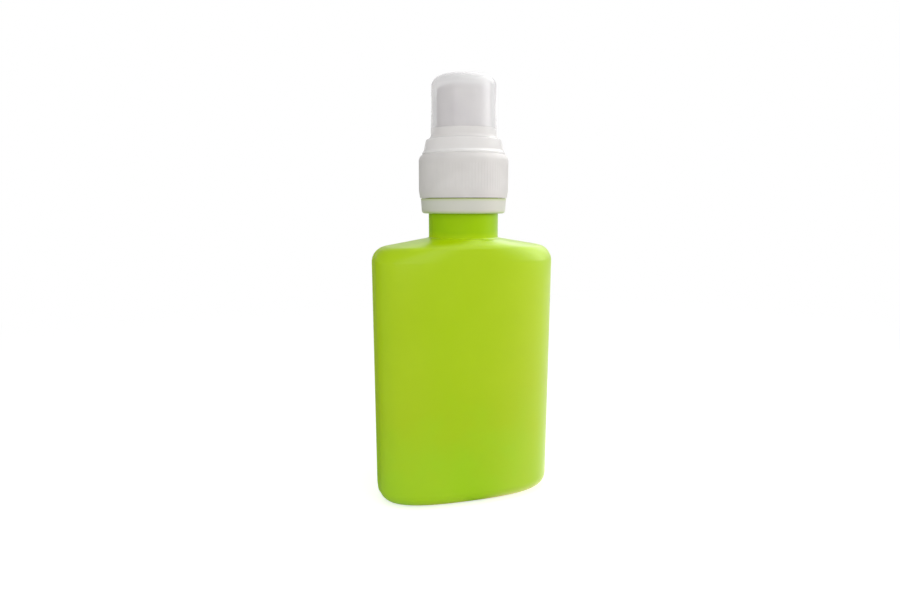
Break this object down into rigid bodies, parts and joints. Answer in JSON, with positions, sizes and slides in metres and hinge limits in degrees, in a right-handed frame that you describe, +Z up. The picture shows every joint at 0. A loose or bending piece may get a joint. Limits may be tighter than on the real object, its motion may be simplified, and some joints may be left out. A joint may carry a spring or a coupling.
{
  "type": "sports water bottle",
  "caption": "Flat oval pocket drinks bottle with a long neck, a ribbed screw closure, a push-pull spout that slides on a plugged chimney and a clear push-fit overcap.",
  "frame": {"origin": "on the standing plane, under the middle of the flask and on the axis of the neck", "axes": "+Z up along the neck, +X along the flask's width, +Y through its depth, away from the pictured face"},
  "size_m": [0.0648, 0.031, 0.148],
  "materials": {
    "flask_plastic": "satin lime green, blow-moulded",
    "closure_plastic": "satin white, injection-moulded",
    "liner_foam": "white closed-cell foam",
    "spout_plastic": "satin white, injection-moulded",
    "overcap_plastic": "natural clear, slightly milky"
  },
  "bodies": {
    "flask": {"flask": "flask_plastic"},
    "tamper_band": {"tamper_band": "closure_plastic"},
    "liner": {"seal_liner": "liner_foam"},
    "closure": {"screw_closure": "closure_plastic"},
    "spout": {"push_pull_spout": "spout_plastic"},
    "overcap": {"overcap": "overcap_plastic"}
  },
  "joints": [
    {"name": "band_spin", "type": "hinge", "parent": "flask", "child": "tamper_band", "pos_m": [0, 0, 0.1043], "axis": [0, 0, 1], "continuous": true},
    {"name": "cap_rise", "type": "slide", "parent": "flask", "child": "liner", "axis": [0, 0, 1], "range_m": [0, 0.0045]},
    {"name": "cap_turn", "type": "hinge", "parent": "liner", "child": "closure", "pos_m": [0, 0, 0.1147], "axis": [0, 0, 1], "range_deg": [0, 540]},
    {"name": "spout_pull", "type": "slide", "parent": "closure", "child": "spout", "axis": [0, 0, 1], "range_m": [0, 0.0026]},
    {"name": "overcap_lift", "type": "slide", "parent": "closure", "child": "overcap", "axis": [0, 0, 1], "range_m": [0, 0.03]}
  ],
  "couplings": [
    {"joint": "cap_turn", "follows": "cap_rise", "rad_per_m": 2094.4}
  ]
}
